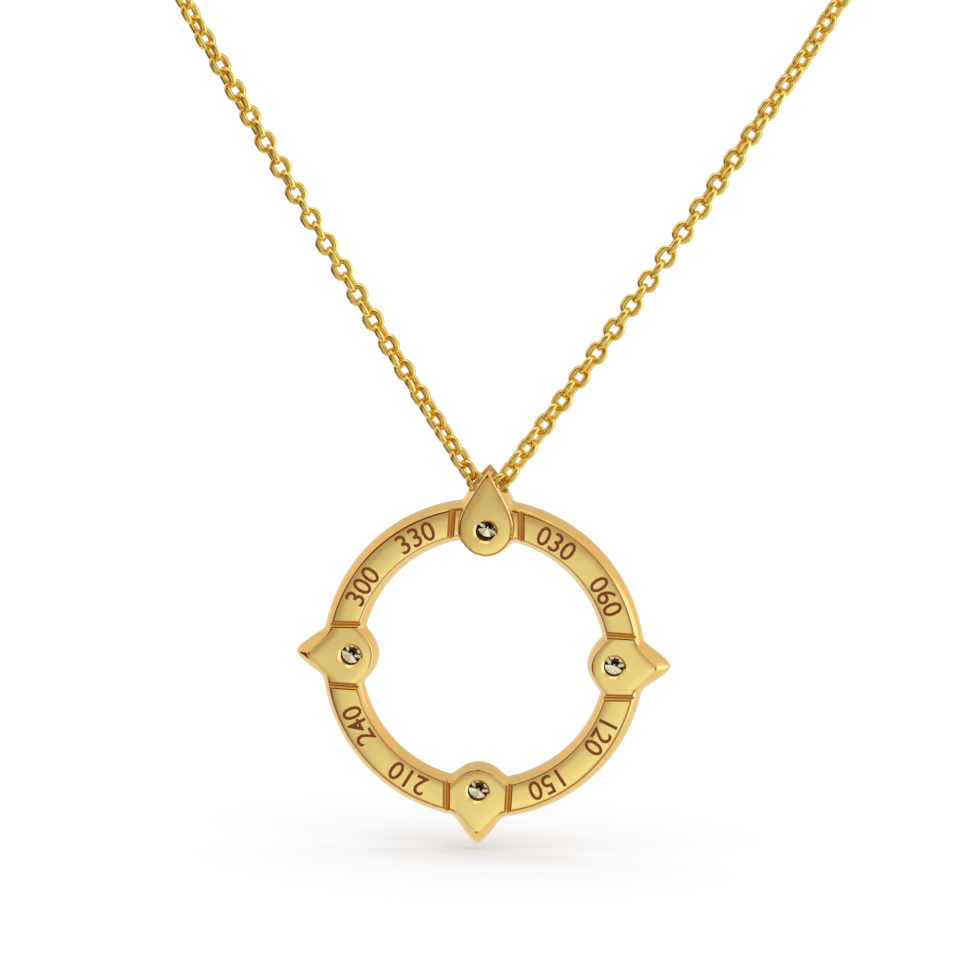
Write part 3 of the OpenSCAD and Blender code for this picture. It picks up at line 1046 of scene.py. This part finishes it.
@dataclass
class CableChain:
    """A fine cable chain of interlocking oval links, one whole loop with its clasp."""

    link_l: float = 1.7
    link_w: float = 1.43
    wire: float = 0.36
    side_swell: float = 0.28
    pitch: float = 0.98
    bend_r: float = 0.99
    lean_deg: float = 35.0
    first_contact: float = 4.1
    route_steps: int = 12
    # Past this share of the way forwards, the chain's links are set level with the wearer's neck.
    forwards: float = 0.35
    link_sides: int = 16
    wire_sides: int = 6
    # Makes up for the flats of the wire's few sides.
    section_swell: float = 1.06
    # Twist in degrees a millimetre, where along a strand the links lie square, and the most twist.
    twist_deg: float = 2.6
    level_at: float = 19.0
    most_twist_deg: float = 50.0
    fade_links: int = 60
    wobble_deg: float = 4.0
    seed: int = 4

    def route(self) -> list[Vector]:
        """Works out the chain's path in metres, from one eye of the clasp to the other.

        Returns:
            Points close together along the path.
        """
        sweep = 90 - self.lean_deg
        bend_end = self.on_bend(sweep)
        lean = math.radians(self.lean_deg)
        lead_in = bend_end - STRAND[0][0] * Vector((math.sin(lean), 0, math.cos(lean)))
        contact = Vector((self.first_contact * MM, 0, 0)) - BRIDGE
        beyond = contact - Vector((self.first_contact * MM, 0, 0))
        steps = self.route_steps
        strand = catmull([lead_in, bend_end, *(Vector(p) for p in STRAND), contact, beyond], steps)
        bend = [self.on_bend(sweep * i / steps) for i in range(1 - steps, steps)]
        mirrored = [Vector((-p.x, p.y, p.z)) for p in reversed(strand)]
        return [p + BRIDGE for p in mirrored + bend + strand]

    def on_bend(self, degrees: float) -> Vector:
        """Returns the point of the bend at an angle from its lowest point."""
        angle = math.radians(degrees)
        return self.bend_r * MM * Vector((math.sin(angle), 0, -math.cos(angle)))

    def contacts(self) -> list[Vector]:
        """Spaces the points where links meet evenly along the route.

        Returns:
            One point more than there are links, with a link centred under the bridge.
        """
        path = self.route()
        reach = [0.0]
        for a, b in zip(path, path[1:]):
            reach.append(reach[-1] + (b - a).length)
        count = round(reach[-1] / (self.pitch * MM))
        count += 1 - count % 2
        points = []
        for i in range(count + 1):
            goal = reach[-1] * i / count
            place = min(max(bisect.bisect_left(reach, goal), 1), len(path) - 1)
            share = (goal - reach[place - 1]) / (reach[place] - reach[place - 1])
            points.append(path[place - 1].lerp(path[place], share))
        return points

    def link(self) -> bpy.types.Mesh:
        """Bends one oval link, lying flat with its length along x.

        Returns:
            The link's mesh, in millimetres.
        """
        bm = bmesh.new()
        wire_r = self.wire / 2
        bend_r = self.link_w / 2 - wire_r * (1 + self.side_swell)
        section = bmesh.ops.create_circle(bm, segments=self.wire_sides,
                                          radius=wire_r * self.section_swell)["verts"]
        place = Matrix.Translation((bend_r, 0, 0)) @ Matrix.Rotation(math.pi / 2, 4, "X")
        bmesh.ops.transform(bm, matrix=place, verts=section)
        half = math.pi / self.link_sides
        bmesh.ops.rotate(bm, cent=(0, 0, 0), matrix=Matrix.Rotation(half, 3, "Z"), verts=section)
        bmesh.ops.spin(bm, geom=[*bm.verts, *bm.edges], axis=(0, 0, 1), cent=(0, 0, 0),
                       angle=math.tau, steps=self.link_sides, use_merge=True)
        stretch = (self.link_l - self.link_w) / 2
        for vert in bm.verts:
            out = Vector((vert.co.x, vert.co.y, 0)).normalized()
            middle = out * bend_r
            vert.co = middle + (vert.co - middle) * (1 + self.side_swell * out.y ** 2)
            vert.co.x += math.copysign(stretch, vert.co.x)
        bmesh.ops.recalc_face_normals(bm, faces=bm.faces)
        for face in bm.faces:
            face.smooth = True
        mesh = bpy.data.meshes.new("link")
        bm.to_mesh(mesh)
        bm.free()
        return mesh

    def turn_of(self, number: int, count: int) -> float:
        """Works out how far a link is rolled about the chain.

        Each strand is twisted evenly: by an eighth of a turn from the bridge to where its links lie
        square to the wearer, and on from there.

        Args:
            number: the link's number from one eye of the clasp.
            count: the number of links.

        Returns:
            The roll in radians, not counting the quarter turn of every other link.
        """
        middle = (count - 1) / 2
        away = abs(number - middle) * self.pitch
        turn = min(self.twist_deg * (away - self.level_at), self.most_twist_deg)
        fade = min(1.0, (middle - abs(number - middle)) / self.fade_links)
        return math.radians(turn * fade) * (1 if number > middle else -1)

    def build(self, gold: bpy.types.Material) -> bpy.types.Object:
        """Joins the links along the route.

        Args:
            gold: the wire's finish.

        Returns:
            The finished piece.
        """
        random.seed(self.seed)
        contacts = self.contacts()
        count = len(contacts) - 1
        master = self.link()
        bm = bmesh.new()
        for number, (a, b) in enumerate(zip(contacts, contacts[1:])):
            along = (b - a).normalized()
            side = self.level(along).cross(along).normalized()
            flat = along.cross(side).normalized()
            quarter = (number - count // 2) % 2
            turn = self.turn_of(number, count) + quarter * math.pi / 2
            turn += math.radians(random.uniform(-self.wobble_deg, self.wobble_deg))
            basis = Matrix((along, side, flat)).transposed().to_4x4()
            place = (Matrix.Translation((a + b) / 2) @ basis @ Matrix.Rotation(turn, 4, "X")
                     @ Matrix.Scale(MM, 4))
            mesh = master.copy()
            mesh.transform(place)
            bm.from_mesh(mesh)
            bpy.data.meshes.remove(mesh)
        bpy.data.meshes.remove(master)
        LOG.info("cable chain: %d links", count)
        return as_object("cable_chain_links", bm, gold)

    def level(self, along: Vector) -> Vector:
        """Returns the direction that an unrolled link faces, level with the wearer's side."""
        return Vector((0, -1, 0)) if abs(along.y) < self.forwards else Vector((0, 0, 1))


@dataclass
class RingClasp:
    """The plain ring clasp at the nape, with an eye at each side."""

    ring_r: float = 2.3
    wire_r: float = 0.55
    eye_x: float = 3.6
    eye_r: float = 0.75
    eye_wire_r: float = 0.25
    wire_sides: int = 16
    ring_steps: int = 64
    eye_steps: int = 32

    def torus(self, bm: bmesh.types.BMesh, radius: float, wire: float, across: float,
              steps: int) -> None:
        """Adds one round ring of wire.

        Args:
            bm: the bmesh that takes it.
            radius: radius to the middle of the wire.
            wire: radius of the wire.
            across: distance of the ring's middle from the clasp's.
            steps: steps round the ring.
        """
        section = bmesh.ops.create_circle(bm, segments=self.wire_sides, radius=wire)["verts"]
        bmesh.ops.translate(bm, vec=(across + radius, 0, 0), verts=section)
        edges = list({edge for vert in section for edge in vert.link_edges})
        bmesh.ops.spin(bm, geom=section + edges, axis=(0, 1, 0), cent=(across, 0, 0),
                       angle=math.tau, steps=steps, use_merge=True)

    def build(self, gold: bpy.types.Material) -> bpy.types.Object:
        """Builds the clasp.

        Args:
            gold: its finish.

        Returns:
            The finished piece.
        """
        bm = bmesh.new()
        self.torus(bm, self.ring_r, self.wire_r, 0.0, self.ring_steps)
        for side in (-1, 1):
            self.torus(bm, self.eye_r, self.eye_wire_r, side * self.eye_x, self.eye_steps)
        bmesh.ops.scale(bm, vec=(MM, MM, MM), verts=bm.verts)
        bmesh.ops.recalc_face_normals(bm, faces=bm.faces)
        for face in bm.faces:
            face.smooth = True
        return as_object("ring_clasp", bm, gold)


@dataclass(frozen=True)
class Glow:
    """A soft patch of light or shade in the studio around the object, seen from the object."""

    towards: tuple[float, float, float]
    inner_deg: float
    outer_deg: float
    colour: str
    level: float = 1.0


@dataclass
class Studio:
    """A white paper floor, soft light from all round with a few cards, and the camera.

    The camera's place fits the photograph: the ring's back face is centred on ring_at there.
    """

    floor_z: float = -0.1451
    floor_half: float = 4.0
    azimuth: float = 4.0
    elevation: float = 7.2
    roll_deg: float = 1.85
    distance: float = 0.4
    mm_per_pixel: float = 0.0663
    picture: int = 960
    ring_at: tuple[float, float] = (481.8, 661.3)
    key_power: float = 0.9
    key_width_deg: float = 100.0
    key_lean_deg: float = 16.0
    paper_light: float = 0.8
    room: str = "#eee2da"
    # Later patches lie over earlier ones.
    glows: tuple[Glow, ...] = (
        Glow((0.0, 1.0, 0.0), 20, 45, "#f6f7ff", 1.05),
        Glow((0.0, 0.75, 0.66), 25, 50, "#dedad8", 1.0),
        Glow((0.0, 0.0, -1.0), 76, 92, "#f4f4f6", 0.95),
        Glow((-0.07, -1.0, -0.125), 52, 60, "#a8703e"),
        Glow((-0.07, -1.0, -0.125), 34, 42, "#bfbab9"),
        Glow((0.03, -1.0, -0.31), 2, 16, "#e4f4ff", 1.25),
        Glow((0.0, -0.77, 0.64), 10, 24, "#6a3018"),
        Glow((-0.45, -0.77, 0.45), 12, 24, "#6a3018"),
        Glow((-0.7, -0.7, -0.05), 10, 20, "#7d5230"),
        Glow((0.0, -0.1, 1.0), 12, 34, "#e8f2ff", 1.5),
        Glow((1.0, 0.0, -0.05), 22, 42, "#d3e2ff", 1.9),
        Glow((-1.0, 0.0, -0.45), 20, 32, "#5a2a12"),
    )

    def floor(self, paper: bpy.types.Material) -> bpy.types.Object:
        """Lays the paper floor just under the pendant.

        Args:
            paper: its finish.

        Returns:
            The floor.
        """
        bm = bmesh.new()
        bmesh.ops.create_grid(bm, x_segments=1, y_segments=1, size=1)
        bmesh.ops.transform(bm, verts=bm.verts, matrix=(
            Matrix.Translation((0, 0, self.floor_z))
            @ Matrix.Diagonal((self.floor_half, self.floor_half, 1, 1))))
        floor = as_object("paper_floor", bm, paper)
        floor.visible_glossy = False
        return floor

    def light(self) -> None:
        """Fills the studio with soft light, with brighter and darker cards for the gold to mirror."""
        world = bpy.data.worlds.new("soft_studio")
        bpy.context.scene.world = world
        world.use_nodes = True
        tree = world.node_tree
        tree.nodes.clear()
        place = add_node(tree, "ShaderNodeTexCoord")
        light: tuple | bpy.types.NodeSocket = linear(self.room)
        for glow in self.glows:
            near = add_node(tree, "ShaderNodeVectorMath", {"operation": "DOT_PRODUCT"}, {
                0: place.outputs["Generated"], 1: tuple(Vector(glow.towards).normalized())})
            share = add_node(tree, "ShaderNodeMapRange", {"interpolation_type": "SMOOTHSTEP"}, {
                "Value": near.outputs["Value"],
                "From Min": math.cos(math.radians(glow.outer_deg)),
                "From Max": math.cos(math.radians(glow.inner_deg))})
            shine = tuple(channel * glow.level for channel in linear(glow.colour)[:3])
            light = add_node(tree, "ShaderNodeMix", {"data_type": "RGBA"}, {
                "Factor": share.outputs["Result"], MIX_A: light, MIX_B: (*shine, 1.0)}).outputs[MIX_OUT]
        ray = add_node(tree, "ShaderNodeLightPath")
        mirrored = add_node(tree, "ShaderNodeMix", {"data_type": "RGBA"}, {
            "Factor": ray.outputs["Is Glossy Ray"], MIX_A: (1.0, 1.0, 1.0, 1.0), MIX_B: light})
        share = add_node(tree, "ShaderNodeMapRange", inputs={
            "Value": ray.outputs["Is Diffuse Ray"], "To Min": 1.0, "To Max": self.paper_light})
        back = add_node(tree, "ShaderNodeBackground", inputs={
            "Color": mirrored.outputs[MIX_OUT], "Strength": share.outputs["Result"]})
        add_node(tree, "ShaderNodeOutputWorld", inputs={"Surface": back.outputs["Background"]})

    def key(self) -> None:
        """Hangs the broad key light that whitens the floor and leaves a soft shadow under the tip."""
        data = bpy.data.lights.new("broad_overhead_key", "SUN")
        data.energy = self.key_power
        data.angle = math.radians(self.key_width_deg)
        lamp = bpy.data.objects.new("broad_overhead_key", data)
        lamp.visible_glossy = False
        lamp.rotation_euler = (math.radians(self.key_lean_deg), 0, 0)
        bpy.context.scene.collection.objects.link(lamp)

    def camera(self, ring_centre: Vector) -> None:
        """Stands the camera where the photograph was taken from.

        Args:
            ring_centre: the middle of the pendant's ring.
        """
        azimuth, elevation = math.radians(self.azimuth), math.radians(self.elevation)
        away = Vector((math.sin(azimuth) * math.cos(elevation), -math.cos(azimuth) * math.cos(elevation),
                       math.sin(elevation)))
        level = away.to_track_quat("Z", "Y").to_matrix()
        turned = level @ Matrix.Rotation(math.radians(self.roll_deg), 3, "Z")
        right, up = turned.col[0], turned.col[1]
        scale = self.mm_per_pixel * MM
        across = (self.ring_at[0] - self.picture / 2) * scale
        down = (self.ring_at[1] - self.picture / 2) * scale
        target = ring_centre - right * across + up * down
        data = bpy.data.cameras.new("camera")
        data.sensor_fit = "HORIZONTAL"
        data.angle = 2 * math.atan(self.picture * scale / 2 / self.distance)
        data.clip_start = 0.01
        camera = bpy.data.objects.new("camera", data)
        camera.matrix_world = Matrix.Translation(target + away * self.distance) @ turned.to_4x4()
        bpy.context.scene.collection.objects.link(camera)
        bpy.context.scene.camera = camera


def place_piece(piece: bpy.types.Object, body: Body, slot: Slot, *nodes: str) -> None:
    """Ties a finished piece to its body and hides the nodes that it stands for.

    Args:
        piece: the finished piece.
        body: the body that it rides on.
        slot: not used.
        nodes: the nodes that it replaces.
    """
    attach(piece, body.value)
    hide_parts(*nodes)
    LOG.info("%s: %d faces, replaces %s", piece.name, len(piece.data.polygons), ", ".join(nodes))


def main() -> None:
    """Builds the studio and every piece in order."""
    logging.basicConfig(level=logging.INFO, format="%(name)s: %(message)s")
    ring = Ring()
    studio = Studio()
    studio.camera(ring.hang() @ Vector((0, 0, ring.back_z)))
    chain_gold = PolishedGold("bright_drawn_gold", "#ffdf74", 0.25, swirl_mm=0.2, wave_h=0.0).build()
    place_piece(CableChain().build(chain_gold), Body.NECKLACE, Slot.CHAIN, "chain")
    place_piece(RingClasp().build(chain_gold), Body.NECKLACE, Slot.CHAIN, "clasp")
    finishes = {Finish.POLISHED: PolishedGold("polished_cast_gold", "#f8d17c", 0.1).build(),
                # The satin roughness is the metal's finish. Its paler colour is painted light, which
                # lifts the shaded slot and bridge.
                Finish.SATIN_PAINTED_PALER: PolishedGold("satin_gold_painted_paler", "#ffe3a8", 0.65).build(),
                Finish.DULL: PolishedGold("dull_gold_in_grooves", "#efc47a", 0.26).build(),
                # Painted shade: dark brown gold on the walls of the stones' seats and holes.
                Finish.PAINTED_SHADE_IN_SEATS: BurntCutAndPaintedShade("painted_shade_in_seats", "#7a4214", "#a0642a").build(),
                Finish.BURNT: BurntCutAndPaintedShade().build()}
    place_piece(ring.build(finishes), Body.PENDANT, Slot.PENDANT, "pendant_frame")
    diamond = CutDiamond().build()
    for bearing in Bearing:
        stone = Brilliant(ring).build(bearing, diamond)
        place_piece(stone, Body.PENDANT, Slot.STONE, f"stone_{bearing.name.lower()}")
    studio.floor(WhitePaper().build())
    studio.light()
    studio.key()
    bpy.context.scene.view_settings.view_transform = "Standard"
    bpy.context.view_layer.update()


if __name__ == "__main__":
    main()
